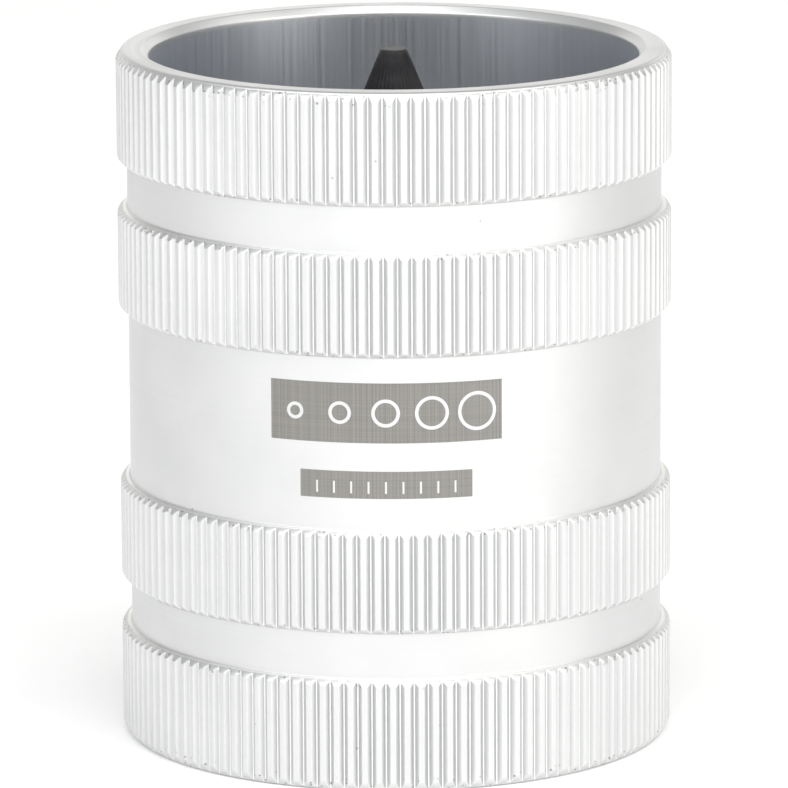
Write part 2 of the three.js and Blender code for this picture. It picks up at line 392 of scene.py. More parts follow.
def inside_outline(grip, bore):
    """(radius, height, slot) from the top rim down the bore and the counterbore to the bottom end."""
    bore_r = BARREL_RADIUS - bore.wall
    lip_r = bore_r - bore.lip_depth
    lip_top = bore.seat_depth + bore.lip_length
    seat_r = bore_r + bore.seat_step
    groove_r = RING_HIGH.y + bore.clearance
    groove_top = RING_HIGH.z + bore.clearance / 2
    groove_low = RING_LOW.z - bore.clearance / 2
    rim_r = BARREL_RADIUS - grip.rim_chamfer_depth - grip.edge
    flat_r = rim_r - grip.rim_crown_depth
    inset = 0.12 * MM
    crown = []
    for step in range(5):
        turn = math.pi / 2 * step / 4
        radius = flat_r + grip.rim_crown_depth * math.cos(turn)
        crown.append((radius, grip.rim_crown * (1 - math.sin(turn))))
    corners = [(radius, BARREL_LENGTH - drop) for radius, drop in crown]
    corners += [
        (flat_r - inset, BARREL_LENGTH),
        (bore_r + bore.mouth_chamfer + inset, BARREL_LENGTH),
        (bore_r + bore.mouth_chamfer, BARREL_LENGTH),
        (bore_r, BARREL_LENGTH - bore.mouth_chamfer),
        (bore_r, BARREL_LENGTH - bore.mouth_chamfer - bore.mouth_land),
        (bore_r, lip_top + bore.lip_depth),
        (lip_r, lip_top),
        (lip_r, bore.seat_depth),
        (seat_r, bore.seat_depth),
        (seat_r, groove_top),
        (groove_r, groove_top),
        (groove_r, groove_low),
        (seat_r, groove_low),
        (seat_r, bore.foot_chamfer),
        (seat_r + bore.foot_chamfer, 0.0),
        (seat_r + bore.foot_chamfer + inset, 0.0),
        (flat_r - inset, 0.0),
    ]
    corners += reversed(crown)
    bore_finish_below = BARREL_LENGTH - bore.mouth_chamfer - bore.mouth_land
    for radius, height in soften(corners, 2.5 * grip.edge, 3):
        on_rim = height > bore_finish_below or height < bore.foot_chamfer
        yield radius, height, 0 if on_rim else 1


class DEBURRER_OT_barrel(bpy.types.Operator):
    """Make the knurled barrel with its bore, stop lip and counterbore"""

    bl_idname = "deburrer.add_barrel"
    bl_label = "Barrel"

    def execute(self, context):
        scene = context.scene
        mesh = barrel_mesh(scene.deburrer_grip, scene.deburrer_bore)
        finishes = [outside_aluminium(scene.deburrer_grip), bore_aluminium()]
        add_piece("knurled_barrel", mesh, ["barrel"], finishes)
        return {"FINISHED"}


# ---- core ----


def flute_profile(count):
    """(angle, depth share) round the nose: a narrow ridge in line with each blade and a V flute between."""
    pitch = [(-0.4, 0.92), (-0.2, 0.3), (-0.06, 0.0), (0.06, 0.0), (0.2, 0.3), (0.4, 0.92), (0.5, 1.0)]
    return [((flute + place) * TURN / count, depth) for flute in range(count) for place, depth in pitch]


def core_mesh(sizes):
    profile = flute_profile(BLADE_COUNT)
    angles = [angle for angle, _ in profile]
    top = CORE_HIGH.z
    nose_r = CORE_HIGH.x
    nose_base = nose_height(sizes)
    slope = (nose_r - sizes.tip_radius) / (top - nose_base)
    spindle = BLADE_LOW.x - sizes.spindle_gap
    edge = 0.12 * MM
    skin = Skin()
    skin.even_ring(angles, sizes.tip_radius - edge, top)
    skin.cap(0)
    skin.even_ring(angles, sizes.tip_radius - 0.3 * edge, top - 0.3 * edge)
    skin.even_ring(angles, sizes.tip_radius + edge * slope, top - edge)
    flute_start = top - sizes.plain_tip
    steps = 14
    for step in range(steps + 1):
        height = flute_start + (nose_base + edge - flute_start) * (step / steps) ** 1.5
        radius = sizes.tip_radius + (top - height) * slope
        deep = radius * sizes.flute_depth * min(1.0, 2.5 * step / steps)
        skin.ring(angles, [(radius - deep * depth, height) for _, depth in profile])
    full = nose_r * sizes.flute_depth
    skin.ring(angles, [(nose_r - full * depth - edge, nose_base) for _, depth in profile])
    for radius, height in soften(spindle_corners(sizes, spindle, nose_base), edge, 2)[1:]:
        skin.even_ring(angles, radius, height)
    skin.cap(-1)
    return skin.mesh("fluted_core")


def nose_height(sizes):
    """Height of the nose's underside: the blades begin one clearance below it."""
    return BLADE_HIGH.z + sizes.spindle_gap


def spindle_corners(sizes, spindle, nose_base):
    """Outline of the spindle from under the nose to the centre-drilled lower end."""
    end = CORE_LOW.z
    collar = spindle + sizes.collar_step
    upper = nose_base - sizes.upper_collar_drop
    lower = end + sizes.lower_collar_rise
    chamfer = 0.4 * MM
    drill = 1.1 * MM
    corners = [(CORE_HIGH.x, nose_base), (spindle, nose_base)]
    for foot in (upper, lower):
        head = foot + sizes.collar_height
        corners += [(spindle, head), (collar, head), (collar, foot), (spindle, foot)]
    corners += [(spindle, end + chamfer), (spindle - chamfer, end), (drill, end)]
    corners.append((0.05 * MM, end + drill))
    return corners


class DEBURRER_OT_core(bpy.types.Operator):
    """Make the black centre piece: fluted point, spindle and two hooking collars"""

    bl_idname = "deburrer.add_core"
    bl_label = "Core"

    def execute(self, context):
        mesh = core_mesh(context.scene.deburrer_core)
        add_piece("fluted_core", mesh, ["core"], [black_steel()])
        return {"FINISHED"}


# ---- blades ----


def blade_mesh(sizes):
    """The first blade with bevelled edges; slot 1 marks its ground cone and funnel edges."""
    work = bmesh.new()
    work.from_mesh(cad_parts["blade_01"].data)
    bmesh.ops.remove_doubles(work, verts=work.verts, dist=WELD)
    flat = math.radians(1)
    bmesh.ops.dissolve_limit(work, angle_limit=flat, verts=work.verts, edges=work.edges)
    work.normal_update()
    for face in work.faces:
        slanted = abs(face.normal.x) > 0.3 and abs(face.normal.z) > 0.2
        face.material_index = 1 if slanted else 0
        face.smooth = True
    edges = [edge for edge in work.edges if edge.calc_face_angle(0.0) > math.radians(15)]
    rounding = {"segments": 2, "profile": 0.5, "affect": "EDGES", "clamp_overlap": True}
    bmesh.ops.bevel(work, geom=edges, offset=sizes.blade_edge, **rounding)
    mesh = bpy.data.meshes.new("cutting_blade")
    work.to_mesh(mesh)
    work.free()
    return mesh


class DEBURRER_OT_blades(bpy.types.Operator):
    """Make the forty cutting blades that stand like spokes round the core"""

    bl_idname = "deburrer.add_blades"
    bl_label = "Blades"

    def execute(self, context):
        first = blade_mesh(context.scene.deburrer_core)
        finishes = [blade_steel(), ground_steel()]
        for number, node in enumerate(BLADE_NODES):
            mesh = first.copy()
            mesh.transform(Matrix.Rotation(number * TURN / BLADE_COUNT, 4, "Z"))
            add_piece(f"cutting_blade_{number + 1:02d}", mesh, [node], finishes)
        bpy.data.meshes.remove(first)
        return {"FINISHED"}


# ---- comb ring ----


def comb_mesh(bore):
    """A turned ring with a floor and a slot for each blade, as grid cells in radius, angle and height."""
    slot_room = 0.3 * MM
    wall = 0.9 * MM
    floor = BLADE_LOW.z - bore.clearance
    slot_half = BLADE_THICKNESS / 2 + slot_room
    radii = [inner_radius("comb_ring"), COMB_HIGH.x - wall, COMB_HIGH.x]
    heights = [COMB_LOW.z, floor, COMB_HIGH.z]
    tooth_steps = 6
    pitch = TURN / BLADE_COUNT

    def angles_at(radius):
        half = math.asin(slot_half / radius)
        tooth = pitch - 2 * half
        row = []
        for slot in range(BLADE_COUNT):
            start = slot * pitch
            row += [start - half, start + half]
            row += [start + half + tooth * step / tooth_steps for step in range(1, tooth_steps)]
        return row

    grid = [angles_at(radius) for radius in radii]
    columns = len(grid[0])
    index = {}
    points = []

    def point(layer, column, level):
        key = (layer, column % columns, level)
        if key not in index:
            angle = grid[layer][column % columns]
            index[key] = len(points)
            points.append((radii[layer] * math.cos(angle), radii[layer] * math.sin(angle), heights[level]))
        return index[key]

    def solid(layer, column, level):
        if layer not in (0, 1) or level not in (0, 1):
            return False
        in_slot = column % (tooth_steps + 1) == 0
        return not (in_slot and layer == 0 and level == 1)

    faces = []
    for layer in range(2):
        for column in range(columns):
            for level in range(2):
                if not solid(layer, column, level):
                    continue
                for side, (a, b, c) in enumerate(((1, 0, 0), (0, 1, 0), (0, 0, 1))):
                    for step in (0, 1):
                        shift = 1 if step else -1
                        if solid(layer + a * shift, (column + b * shift) % columns, level + c * shift):
                            continue
                        faces.append(cell_face(point, layer, column, level, side, step))
    mesh = bpy.data.meshes.new("slotted_comb_ring")
    mesh.from_pydata(points, [], faces)
    face_outward(mesh)
    return mesh


def cell_face(point, layer, column, level, side, step):
    """The four corners of one side of a grid cell: 0 is radial, 1 along the angle, 2 along the height."""
    loop = ((0, 0), (1, 0), (1, 1), (0, 1))
    corners = []
    for u, v in loop:
        move = [u, v]
        move.insert(side, step)
        corners.append(point(layer + move[0], column + move[1], level + move[2]))
    return corners


def inner_radius(node):
    """Smallest distance of a CAD node's corners from the axis."""
    return min(math.hypot(v.co.x, v.co.y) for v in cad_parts[node].data.vertices)


class DEBURRER_OT_comb_ring(bpy.types.Operator):
    """Make the slotted ring that spaces the blade feet"""

    bl_idname = "deburrer.add_comb_ring"
    bl_label = "Comb ring"

    def execute(self, context):
        mesh = comb_mesh(context.scene.deburrer_bore)
        piece = add_piece("slotted_comb_ring", mesh, ["comb_ring"], [phosphated_steel()])
        bevel = piece.modifiers.new("broken_edges", "BEVEL")
        bevel.width = 0.08 * MM
        bevel.segments = 2
        bevel.limit_method = "ANGLE"
        bevel.angle_limit = SHARP
        piece.modifiers.move(1, 0)
        return {"FINISHED"}


# ---- retaining ring ----


def arc(centre, radius, start, end, steps):
    """Points on an arc from one angle to another, ends included."""
    points = []
    for step in range(steps + 1):
        angle = start + (end - start) * step / steps
        points.append((centre[0] + radius * math.cos(angle), centre[1] + radius * math.sin(angle)))
    return points


def retaining_outline(outer, inner, lug_r, lug_at):
    """One closed outline: the outside arc, a round lug, the inside arc and the other lug."""
    reach = outer - lug_r
    meet = math.acos((reach**2 + lug_r**2 - inner**2) / (2 * reach * lug_r))
    far = (reach * math.cos(lug_at), reach * math.sin(lug_at))
    near = (far[0], -far[1])
    first = arc((0, 0), outer, lug_at, TURN - lug_at, 160)
    lower_lug = arc(near, lug_r, -lug_at, -lug_at + math.pi + meet, 28)
    inside_at = math.atan2(lower_lug[-1][1], lower_lug[-1][0])
    inside = arc((0, 0), inner, TURN + inside_at, -inside_at, 160)
    upper_lug = arc(far, lug_r, lug_at - math.pi - meet, lug_at, 28)
    return first[:-1] + lower_lug[:-1] + inside[:-1] + upper_lug[:-1], far, near


def flat_curve_mesh(name, outlines, thickness, edge, base):
    """A flat plate with rounded edges from an outline and its holes."""
    curve = bpy.data.curves.new(name, "CURVE")
    curve.dimensions = "2D"
    curve.fill_mode = "BOTH"
    curve.extrude = thickness / 2 - edge
    curve.bevel_depth = edge
    curve.bevel_resolution = 2
    curve.offset = -edge
    for outline in outlines:
        spline = curve.splines.new("POLY")
        spline.points.add(len(outline) - 1)
        for point, (x, y) in zip(spline.points, outline):
            point.co = (x, y, 0.0, 1.0)
        spline.use_cyclic_u = True
    holder = add_object(name, curve)
    bpy.context.view_layer.update()
    shown = holder.evaluated_get(bpy.context.evaluated_depsgraph_get())
    mesh = bpy.data.meshes.new_from_object(shown)
    bpy.data.objects.remove(holder)
    bpy.data.curves.remove(curve)
    mesh.transform(Matrix.Translation((0, 0, base + thickness / 2)))
    face_outward(mesh, weld=True)
    return mesh


class DEBURRER_OT_retaining_ring(bpy.types.Operator):
    """Make the internal retaining ring with its two plier lugs"""

    bl_idname = "deburrer.add_retaining_ring"
    bl_label = "Retaining ring"

    def execute(self, context):
        width = 2.0 * MM
        lug_r = 1.6 * MM
        hole_r = 0.75 * MM
        edge = 0.15 * MM
        half_gap = 0.21
        outer = RING_HIGH.y
        inner = outer - width
        outline, far, near = retaining_outline(outer, inner, lug_r, half_gap + lug_r / inner)
        holes = [arc(centre, hole_r, 0, TURN, 24)[:-1] for centre in (far, near)]
        thickness = RING_HIGH.z - RING_LOW.z
        mesh = flat_curve_mesh("spring_ring", [outline, *holes], thickness, edge, RING_LOW.z)
        finish = [spring_steel()]
        add_piece("spring_ring", mesh, ["retaining_ring"], finish)
        return {"FINISHED"}


# ---- shader nodes ----


class Tree:
    """Adds nodes to a shader tree and links them. A value is a socket, or a constant for the input."""

    def __init__(self, tree):
        self.tree = tree

    def node(self, kind, **settings):
        node = self.tree.nodes.new(kind)
        for name, value in settings.items():
            setattr(node, name, value)
        return node

    def put(self, value, socket):
        if isinstance(value, bpy.types.NodeSocket):
            self.tree.links.new(value, socket)
        else:
            socket.default_value = value

    def feed(self, kind, values, **settings):
        """Adds a node, feeds its inputs in order, and gives its first output."""
        node = self.node(kind, **settings)
        for value, socket in zip(values, node.inputs):
            self.put(value, socket)
        return node.outputs[0]

    def math(self, operation, *values):
        return self.feed("ShaderNodeMath", values, operation=operation)

    def times(self, first, second):
        return self.math("MULTIPLY", first, second)

    def plus(self, first, second):
        return self.math("ADD", first, second)

    def minus(self, first, second):
        return self.math("SUBTRACT", first, second)

    def reach(self, x, y):
        """Length of the flat vector (x, y)."""
        return self.math("SQRT", self.plus(self.times(x, x), self.times(y, y)))

    def join(self, x, y, z):
        return self.feed("ShaderNodeCombineXYZ", (x, y, z))

    def remap(self, value, low, high, to_low=0.0, to_high=1.0):
        values = (value, low, high, to_low, to_high)
        return self.feed("ShaderNodeMapRange", values, interpolation_type="SMOOTHSTEP")

    def blend(self, factor, first, second):
        """Mixes two colours, each a socket or its red, green and blue."""
        node = self.node("ShaderNodeMix", data_type="RGBA")
        self.put(factor, node.inputs["Factor"])
        for value, label in ((first, "A"), (second, "B")):
            constant = not isinstance(value, bpy.types.NodeSocket)
            self.put((*value, 1.0) if constant else value, node.inputs[label])
        return node.outputs["Result"]

    def cover(self, base, mask, amount, value):
        """Lays a colour over the base where the mask is, by no more than the amount."""
        return self.blend(self.times(mask, amount), base, value)

    def noise(self, vector, scale, detail=2.0, roughness=0.5):
        node = self.node("ShaderNodeTexNoise")
        self.put(vector, node.inputs["Vector"])
        self.put(scale, node.inputs["Scale"])
        node.inputs["Detail"].default_value = detail
        node.inputs["Roughness"].default_value = roughness
        return node.outputs[0]

    def place(self):
        """Object coordinates, which are the frame's own coordinates in metres."""
        return self.node("ShaderNodeTexCoord").outputs["Object"]

    def round_place(self):
        """(distance from the axis, angle from the front, height) as sockets."""
        parts = self.node("ShaderNodeSeparateXYZ")
        self.put(self.place(), parts.inputs[0])
        x, y, height = parts.outputs
        angle = self.math("ARCTAN2", x, self.times(y, -1.0))
        return self.reach(x, y), angle, height


def new_group(name, inputs, outputs):
    """An empty shader node group with named float inputs and outputs, and its Tree and end nodes."""
    group = bpy.data.node_groups.new(name, "ShaderNodeTree")
    for label, default in inputs.items():
        socket = group.interface.new_socket(label, in_out="INPUT", socket_type="NodeSocketFloat")
        socket.default_value = default
    for label in outputs:
        group.interface.new_socket(label, in_out="OUTPUT", socket_type="NodeSocketFloat")
    tree = Tree(group)
    return group, tree, tree.node("NodeGroupInput").outputs, tree.node("NodeGroupOutput").inputs


def shared_group(name, build):
    """The node group of that name, built the first time it is asked for."""
    return bpy.data.node_groups.get(name) or build(name)


def turning_lines(name):
    """Fine rings left by a lathe: they run round cylinders and round flat faces."""
    group, tree, given, made = new_group(name, {"Lines per mm": 8.0, "Wander": 0.3}, ["Height"])
    radius, angle, height = tree.round_place()
    per_metre = tree.times(given["Lines per mm"], 1000.0)
    across = tree.times(radius, per_metre)
    along = tree.times(height, per_metre)
    round_it = tree.times(angle, given["Wander"])
    tree.put(tree.noise(tree.join(across, round_it, along), 1.0, 3.0, 0.6), made["Height"])
    return group


def mottle(name):
    """Slow patches that make a finish a little duller here and there."""
    group, tree, given, made = new_group(name, {"Patches per m": 60.0}, ["Patch"])
    broad = tree.noise(tree.place(), given["Patches per m"], 4.0, 0.55)
    tree.put(tree.remap(broad, 0.35, 0.68), made["Patch"])
    return group


def edge_wear(name):
    """Where an outer edge is rubbed bright: the shaded normal leaves the true one near an edge."""
    group, tree, given, made = new_group(name, {"Reach": 0.0002, "Breakup": 900.0}, ["Wear"])
    bevel = tree.node("ShaderNodeBevel", samples=4)
    tree.put(given["Reach"], bevel.inputs["Radius"])
    true_normal = tree.node("ShaderNodeNewGeometry").outputs["True Normal"]
    turn = tree.node("ShaderNodeVectorMath", operation="DOT_PRODUCT")
    tree.put(bevel.outputs[0], turn.inputs[0])
    tree.put(true_normal, turn.inputs[1])
    edge = tree.remap(turn.outputs["Value"], 0.995, 0.88)
    broken = tree.remap(tree.noise(tree.place(), given["Breakup"], 3.0), 0.35, 0.6)
    tree.put(tree.times(edge, broken), made["Wear"])
    return group


def knurl_painted_light(name):
    """Masks of painted light on the knurls: painted shade on the slanted sides between land and root, a
    painted highlight in each root, and painted light on faces that look up below the rim.
    """
    inputs = {"Land radius": 0.0325, "Depth": 0.0005}
    group, tree, given, made = new_group(name, inputs, ["Flank", "Root", "Shoulder"])
    radius, _, height = tree.round_place()
    down = tree.math("DIVIDE", tree.minus(given["Land radius"], radius), given["Depth"])
    normal = tree.node("ShaderNodeSeparateXYZ")
    tree.put(tree.node("ShaderNodeNewGeometry").outputs["True Normal"], normal.inputs[0])
    upright = tree.math("LESS_THAN", tree.math("ABSOLUTE", normal.outputs[2]), 0.3)
    # Painted shade: the flank mask grows from the land edge down to the root
    on_flank = tree.times(tree.remap(down, 0.0, 0.9), tree.remap(down, 0.985, 0.93))
    tree.put(tree.times(on_flank, upright), made["Flank"])
    # Painted highlight in the narrow root of each knurl
    in_root = tree.times(tree.remap(down, 0.95, 0.99), tree.math("LESS_THAN", down, 1.05))
    tree.put(tree.times(in_root, upright), made["Root"])
    # Painted light on faces that look up, below the rim
    faces_up = tree.math("GREATER_THAN", normal.outputs[2], 0.9)
    below_rim = tree.math("LESS_THAN", height, BARREL_LENGTH - 2.0 * MM)
    tree.put(tree.times(faces_up, below_rim), made["Shoulder"])
    return group


def specks(name):
    """Small scattered dots of dirt or pitting."""
    inputs = {"Cells per m": 500.0, "Size": 0.1, "Amount": 0.1}
    group, tree, given, made = new_group(name, inputs, ["Speck"])
    cells = tree.node("ShaderNodeTexVoronoi")
    tree.put(tree.place(), cells.inputs["Vector"])
    tree.put(given["Cells per m"], cells.inputs["Scale"])
    near = tree.math("LESS_THAN", cells.outputs["Distance"], given["Size"])
    pick = tree.node("ShaderNodeSeparateColor")
    tree.put(cells.outputs["Color"], pick.inputs[0])
    chosen = tree.math("LESS_THAN", pick.outputs[0], given["Amount"])
    tree.put(tree.times(near, chosen), made["Speck"])
    return group


def etched_mark(name):
    """A plain size panel: a filled bar with rings of growing width, and a ruled bar under it."""
    shift = 1.1 * MM
    ring_pitch, ring_line = 5.3 * MM, 0.2 * MM
    tick_pitch, tick_line = 1.0 * MM, 0.11 * MM
    panel_low, panel_high = 40.9 * MM, 47.9 * MM
    group, tree, given, made = new_group(name, {"Surface radius": 0.031}, ["Mark"])
    _, angle, height = tree.round_place()
    across = tree.plus(tree.times(angle, given["Surface radius"]), shift)

    def bar(half_width, low, high):
        inside = tree.math("LESS_THAN", tree.math("ABSOLUTE", across), half_width)
        above = tree.math("GREATER_THAN", height, low)
        under = tree.math("LESS_THAN", height, high)
        return tree.times(inside, tree.times(above, under))

    middle = (panel_low + panel_high) / 2
    panel = bar(13.6 * MM, panel_low, panel_high)
    for ring in range(5):
        radius = (0.8 + 0.32 * ring) * MM
        from_centre = tree.reach(tree.minus(across, (ring - 2) * ring_pitch), tree.minus(height, middle))
        off = tree.math("ABSOLUTE", tree.minus(from_centre, radius))
        panel = tree.times(panel, tree.math("GREATER_THAN", off, ring_line))
    ruled = bar(10.0 * MM, 34.4 * MM, 37.6 * MM)
    beat = tree.math("PINGPONG", across, tick_pitch)
    tick = tree.times(tree.math("LESS_THAN", beat, tick_line), bar(9.4 * MM, 35.0 * MM, 36.4 * MM))
    ruled = tree.times(ruled, tree.minus(1.0, tick))
    tree.put(tree.math("MAXIMUM", panel, ruled), made["Mark"])
    return group


class Finish(Tree):
    """A new material with one Principled shader, and helpers that place the shared effects in it."""

    def __init__(self, name):
        self.material = bpy.data.materials.new(name)
        self.material.use_nodes = True
        super().__init__(self.material.node_tree)
        self.shader = self.tree.nodes["Principled BSDF"]
        self.colours = bpy.context.scene.deburrer_finish

    def effect(self, build, **values):
        """Places a shared group, and gives its output, or all of them where it has several."""
        node = self.node("ShaderNodeGroup")
        node.node_tree = shared_group(build.__name__, build)
        for label, value in values.items():
            self.put(value, node.inputs[label.replace("_", " ")])
        outputs = list(node.outputs)
        return outputs[0] if len(outputs) == 1 else outputs

    def set(self, **values):
        for label, value in values.items():
            self.put(value, self.shader.inputs[label.replace("_", " ")])

    def metal(self, base, roughness, metallic, height, distance, strength):
        """Sets colour, roughness and metal, with the height as a bump, and gives the material."""
        self.set(Base_Color=base, Roughness=roughness, Metallic=metallic)
        node = self.node("ShaderNodeBump")
        node.inputs["Distance"].default_value = distance
        node.inputs["Strength"].default_value = strength
        self.put(height, node.inputs["Height"])
        self.put(node.outputs["Normal"], self.shader.inputs["Normal"])
        return self.material


def outside_aluminium(grip):
    """Satin silver anodising over turned and knurled aluminium, with the laser-greyed mark."""
    look = Finish("satin_anodised_aluminium")
    patch = look.effect(mottle, Patches_per_m=70.0)
    lines = look.effect(turning_lines, Lines_per_mm=7.0, Wander=0.35)
    wear = look.effect(edge_wear, Reach=0.00018, Breakup=1400.0)
    dirt = look.effect(specks, Cells_per_m=420.0, Size=0.06, Amount=0.14)
    nicks = look.effect(specks, Cells_per_m=1700.0, Size=0.26, Amount=0.28)
    surface_r = BARREL_RADIUS - grip.band_step
    mark = look.effect(etched_mark, Surface_radius=surface_r)
    radius, angle, height = look.round_place()
    from_middle = look.math("ABSOLUTE", look.minus(height, BARREL_LENGTH / 2))
    near_end = 0.0
    rim_end = 0.8 * MM
    second = grip.end_band + grip.groove
    for end in (rim_end, grip.end_band, second, second + grip.inner_band):
        gap = look.math("ABSOLUTE", look.minus(from_middle, BARREL_LENGTH / 2 - end))
        near_end = look.math("MAXIMUM", near_end, look.remap(gap, 1.1 * MM, 0.3 * MM))
    outer = look.math("GREATER_THAN", radius, BARREL_RADIUS - 0.6 * MM)
    nicks = look.times(nicks, look.times(near_end, outer))
    on_surface = look.math("LESS_THAN", radius, surface_r + 0.05 * MM)
    mark = look.times(mark, on_surface)
    base = look.cover(look.colours.aluminium, patch, 0.5, look.colours.aluminium_dull)
    knurl = {"Land_radius": BARREL_RADIUS, "Depth": grip.knurl_depth}
    flank, root, shoulder = look.effect(knurl_painted_light, **knurl)
    # Painted shade on the knurl flanks, deepening toward the root
    base = look.cover(base, flank, 0.7, PAINTED_FLANK_SHADE)
    # Painted highlight along the knurl roots
    base = look.cover(base, root, 0.6, PAINTED_ROOT_HIGHLIGHT)
    # Painted light on the up-facing shoulders of the bands
    base = look.cover(base, shoulder, 0.8, PAINTED_SHOULDER_LIGHT)
    base = look.cover(base, wear, 0.6, BRIGHT_EDGE)
    base = look.cover(base, dirt, 0.5, GRIT)
    base = look.cover(base, nicks, 0.7, NICK)
    hatch = look.noise(look.join(look.times(angle, 150.0), 0.0, 0.0), 1.0, 2.0)
    etched = look.blend(look.remap(hatch, 0.3, 0.7), look.colours.etch, HATCHED_ETCH)
    base = look.cover(base, mark, 0.92, etched)
    roughness = look.remap(lines, 0.3, 0.7, 0.36, 0.44)
    roughness = look.plus(roughness, look.times(patch, 0.05))
    roughness = look.plus(roughness, look.times(mark, 0.25))
    roughness = look.minus(roughness, look.times(flank, 0.08))
    return look.metal(base, roughness, 1.0, lines, 0.004 * MM, 0.6)


def bore_aluminium():
    """The honed inside, a bluer grey than the outside, with long soft pale streaks along the bore that are
    painted reflections.
    """
    look = Finish("honed_bore_aluminium")
    patch = look.effect(mottle, Patches_per_m=35.0)
    lines = look.effect(turning_lines, Lines_per_mm=9.0, Wander=2.0)
    _, angle, height = look.round_place()
    slow = look.times(height, 14.0)
    broad = look.noise(look.join(look.times(angle, 3.0), slow, 0.0), 1.0, 2.0)
    narrow = look.noise(look.join(look.times(angle, 48.0), slow, 4.0), 1.0, 3.0, 0.65)
    # Painted reflection: narrow pale streaks down the bore
    reflection_streak = look.remap(narrow, 0.36, 0.64)
    tone_and_reflection = look.plus(look.times(patch, 0.2), look.times(broad, 0.3))
    tone_and_reflection = look.plus(tone_and_reflection, look.times(reflection_streak, 0.45))
    base = look.blend(tone_and_reflection, look.colours.bore, PAINTED_BORE_REFLECTION)
    roughness = look.remap(narrow, 0.3, 0.7, 0.34, 0.42)
    return look.metal(base, roughness, 1.0, lines, 0.001 * MM, 0.4)


def black_steel():
    """Black oxide on ground steel, rubbed a little lighter along the ridges."""
    look = Finish("black_oxide_steel")
    patch = look.effect(mottle, Patches_per_m=220.0)
    wear = look.effect(edge_wear, Reach=0.0001, Breakup=1800.0)
    lines = look.effect(turning_lines, Lines_per_mm=9.0, Wander=0.6)
    base = look.blend(patch, look.colours.black_steel, WORN_BLACK)
    base = look.cover(base, wear, 0.3, RUBBED_RIDGE)
    _, _, height = look.round_place()
    tip = look.math("GREATER_THAN", height, CORE_HIGH.z - 0.06 * MM)
    base = look.cover(base, tip, 0.85, TIP_END)
    look.set(Specular_IOR_Level=0.19)
    return look.metal(base, look.remap(lines, 0.3, 0.7, 0.4, 0.52), 0.0, lines, 0.003 * MM, 0.3)


def blade_steel():
    """The flats of the blades: black oxide over fine straight grinding lines."""
    look = Finish("blade_flat_steel")
    patch = look.effect(mottle, Patches_per_m=180.0)
    wear = look.effect(edge_wear, Reach=0.00012, Breakup=1500.0)
    dirt = look.effect(specks, Cells_per_m=900.0, Size=0.12, Amount=0.12)
    radius, _, height = look.round_place()
    slow = look.times(radius, 60.0)
    grind = look.noise(look.join(slow, look.times(height, 9000.0), 0.0), 1.0, 2.0)
    base = look.blend(patch, look.colours.blade_steel, WORN_BLADE)
    base = look.cover(base, wear, 0.7, look.colours.ground_steel)
    base = look.cover(base, dirt, 0.5, OLD_OIL)
    roughness = look.remap(grind, 0.3, 0.7, 0.3, 0.46)
    return look.metal(base, roughness, 0.85, grind, 0.002 * MM, 0.6)


def ground_steel():
    """The cutting edges: bright ground steel with lines across the edge."""
    look = Finish("ground_edge_steel")
    patch = look.effect(mottle, Patches_per_m=400.0)
    lines = look.effect(turning_lines, Lines_per_mm=14.0, Wander=0.5)
    base = look.blend(patch, look.colours.ground_steel, GROUND_SHADE)
    roughness = look.remap(lines, 0.3, 0.7, 0.22, 0.36)
    return look.metal(base, roughness, 1.0, lines, 0.002 * MM, 0.5)


def phosphated_steel():
    """Dull grey phosphate with a fine crystal grain, rubbed bright on the tooth edges."""
    look = Finish("phosphated_steel")
    patch = look.effect(mottle, Patches_per_m=150.0)
    wear = look.effect(edge_wear, Reach=0.0002, Breakup=1200.0)
    grain = look.noise(look.place(), 9000.0, 3.0)
    base = look.blend(patch, look.colours.phosphate, DARK_PHOSPHATE)
    base = look.cover(base, wear, 0.7, look.colours.ground_steel)
    roughness = look.remap(grain, 0.3, 0.7, 0.5, 0.7)
    return look.metal(base, roughness, 0.8, grain, 0.01 * MM, 0.5)


def spring_steel():
    """Oiled dark spring steel, bright where the pliers and the groove rub it."""
    look = Finish("oiled_spring_steel")
    patch = look.effect(mottle, Patches_per_m=200.0)
    wear = look.effect(edge_wear, Reach=0.00025, Breakup=1000.0)
    dirt = look.effect(specks, Cells_per_m=700.0, Size=0.14, Amount=0.2)
    base = look.blend(patch, look.colours.spring_steel, WORN_SPRING)
    base = look.cover(base, wear, 0.75, look.colours.ground_steel)
    base = look.cover(base, dirt, 0.6, SPRING_GRIME)
    roughness = look.remap(patch, 0.0, 1.0, 0.28, 0.42)
    return look.metal(base, roughness, 0.9, look.noise(look.place(), 4000.0, 3.0), 0.006 * MM, 0.4)


def studio_floor():
    """Pale matt floor with a barely visible tone."""
    look = Finish("studio_floor")
    tone = look.noise(look.place(), 3.0, 2.0)
    base = look.cover(look.colours.floor, tone, 0.05, FLOOR_SHADE)
    look.set(Base_Color=base, Roughness=0.9, Emission_Color=(1.0, 1.0, 1.0, 1.0), Emission_Strength=0.08)
    return look.material


# ---- stage ----


def add_camera(stage):
    data = bpy.data.cameras.new("studio_camera")
    data.sensor_width = 36.0
    data.lens = stage.camera_lens
    data.clip_start = 0.01
    data.clip_end = 50.0
    camera = add_object("studio_camera", data)
    away = -stage.camera_distance * BARREL_RADIUS
    camera.location = (0.0, away, stage.camera_height * BARREL_RADIUS)
    aim = Euler((math.pi / 2 - stage.camera_pitch, 0.0, stage.camera_yaw), "XYZ").to_matrix()
    camera.rotation_euler = (aim @ Matrix.Rotation(stage.camera_roll, 3, "Z")).to_euler("XYZ")
    bpy.context.scene.camera = camera


